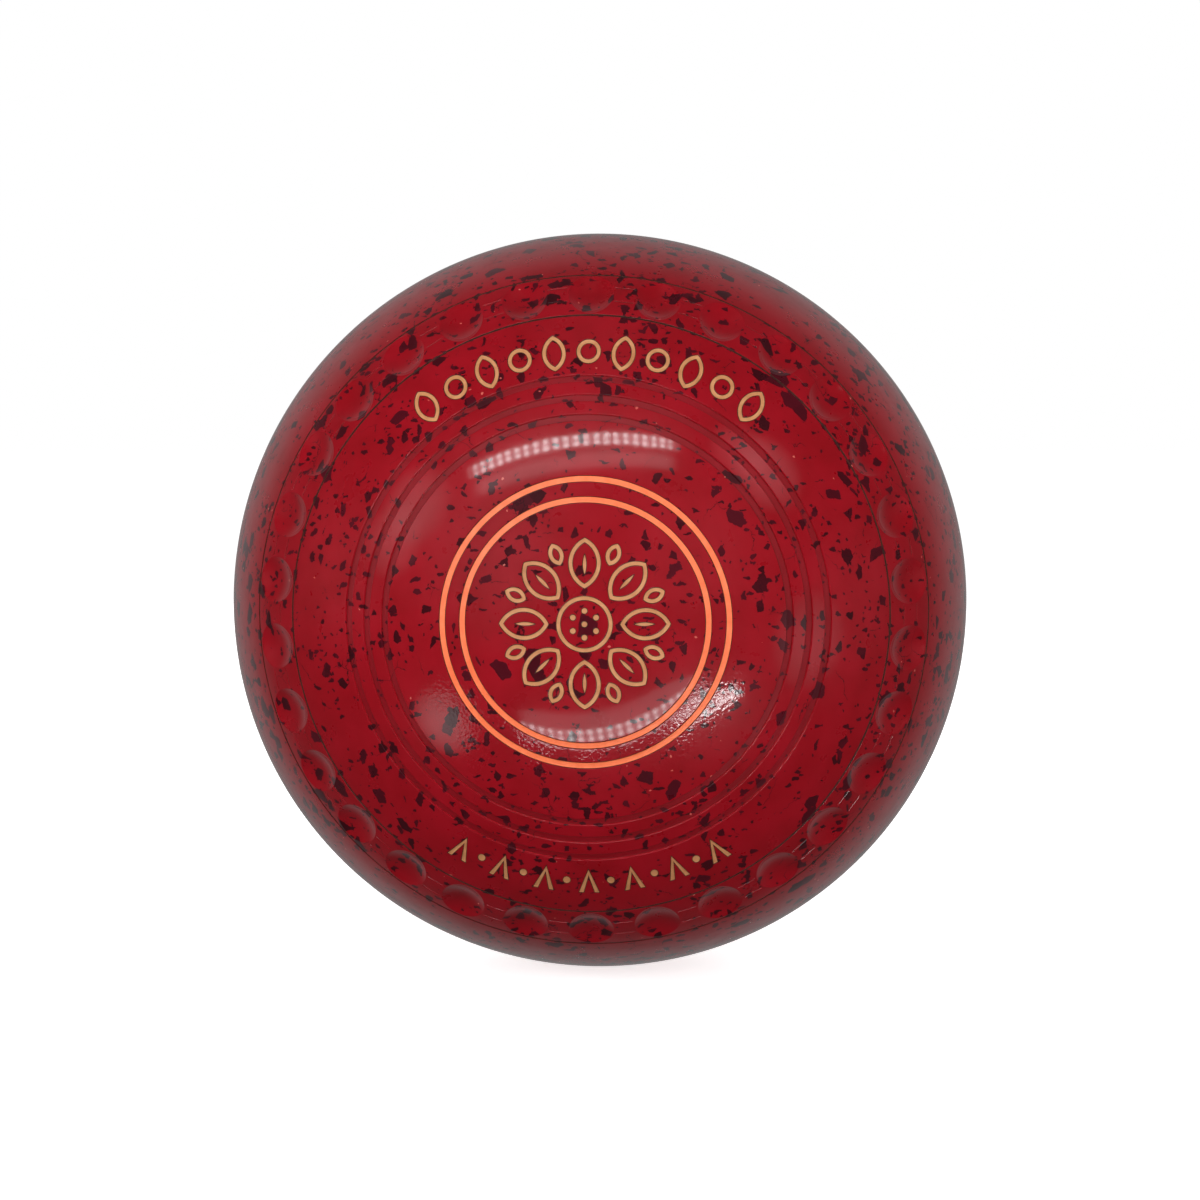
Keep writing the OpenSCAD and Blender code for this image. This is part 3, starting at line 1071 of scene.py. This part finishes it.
def make_floor():
    """A pale disc that fades into the pale surround."""
    count = 96
    mesh = bpy.data.meshes.new("floor")
    rim = [(FLOOR_R * math.cos(a), FLOOR_R * math.sin(a), skin_low.z)
           for a in np.arange(count) * 2 * math.pi / count]
    mesh.from_pydata(rim, [], [list(range(count))])
    floor = bpy.data.objects.new("floor", mesh)
    bpy.context.scene.collection.objects.link(floor)
    made, tree, shader = new_material("pale_floor")
    feed(tree, shader, {
        "Base Color": (0.8, 0.8, 0.8, 1),
        "Roughness": 0.7,
        "Emission Color": (1, 1, 1, 1),
        "Emission Strength": 0.75,
    })
    reach = vector_length(tree, node(tree, "TexCoord").outputs["Object"])
    fade = remapped(tree, reach, 0.15, 1.2)
    glow = node(tree, "Emission", None, {"Color": (1, 1, 1, 1), "Strength": 1.1})
    blend = node(tree, "MixShader", None, {0: fade, 1: shader.outputs[0], 2: glow.outputs[0]})
    tree.links.new(blend.outputs[0], tree.nodes["Material Output"].inputs["Surface"])
    mesh.materials.append(made)
    floor.visible_shadow = False
    floor.visible_diffuse = False
    floor.visible_glossy = False


def make_surround():
    """White to the camera. What the bowl reflects is dimmer, with a few soft glows in it."""
    world = bpy.data.worlds.new("surround")
    world.use_nodes = True
    tree = world.node_tree
    place = node(tree, "TexCoord").outputs["Generated"]
    way = node(tree, "SeparateXYZ", None, {0: place})
    below = remapped(tree, way.outputs[2], -0.78, -0.5, 0.75, 1.0)
    behind = remapped(tree, way.outputs[1], 0.45, 0.75, 0.052, 0.22)
    soft = math_node(tree, "MULTIPLY", below, behind)
    for azimuth, elevation, spread, strength in GLOWS:
        toward = node(tree, "VectorMath", {"operation": "DOT_PRODUCT"},
                      {0: place, 1: direction(azimuth, elevation)}).outputs["Value"]
        glow = remapped(tree, toward, math.cos(math.radians(spread)), 1.0, 0.0, strength)
        soft = math_node(tree, "ADD", soft, glow)
    seen = node(tree, "LightPath").outputs["Is Camera Ray"]
    strength = math_node(tree, "MAXIMUM", soft, seen)
    feed(tree, tree.nodes["Background"], {"Color": (1, 1, 1, 1), "Strength": strength})
    bpy.context.scene.world = world


make_camera()
make_surround()
make_floor()
fills = [(f"fill_{i}", azimuth, FILL_ELEVATION, FILL_POWER)
         for i, azimuth in enumerate(FILL_AZIMUTHS)]
for size, rows in ((FILL_SIZE, fills), (RIM_FILL_SIZE, RIM_FILLS)):
    for name, azimuth, elevation, power in rows:
        place = (azimuth, elevation, 0.0)
        area_light(name, place, FILL_DISTANCE, (size, size), power, glossy=False)
upper = area_light("upper_strip", (-9.1, 46.6, 12.0), STRIP_DISTANCE, (0.64, STRIP_HEIGHT), power=7.6)
draw_strip(upper, length=0.63, bow=-0.013, haze_up=-0.062)
lower = area_light("lower_strip", (3.4, -34.0, 12.1), STRIP_DISTANCE, (0.7, STRIP_HEIGHT), power=6.4)
draw_strip(lower, length=0.5, bow=0.049, haze_up=0.045, reach=1.38)
# the glare has no haze, because haze_up lies past the edge of its light
glare = area_light("glare", (33.9, -26.0, 30.0), STRIP_DISTANCE, (0.21, 0.08), power=2.2)
draw_strip(glare, length=0.2, bow=0.0, haze_up=0.2)
bpy.context.scene.view_settings.view_transform = "Standard"
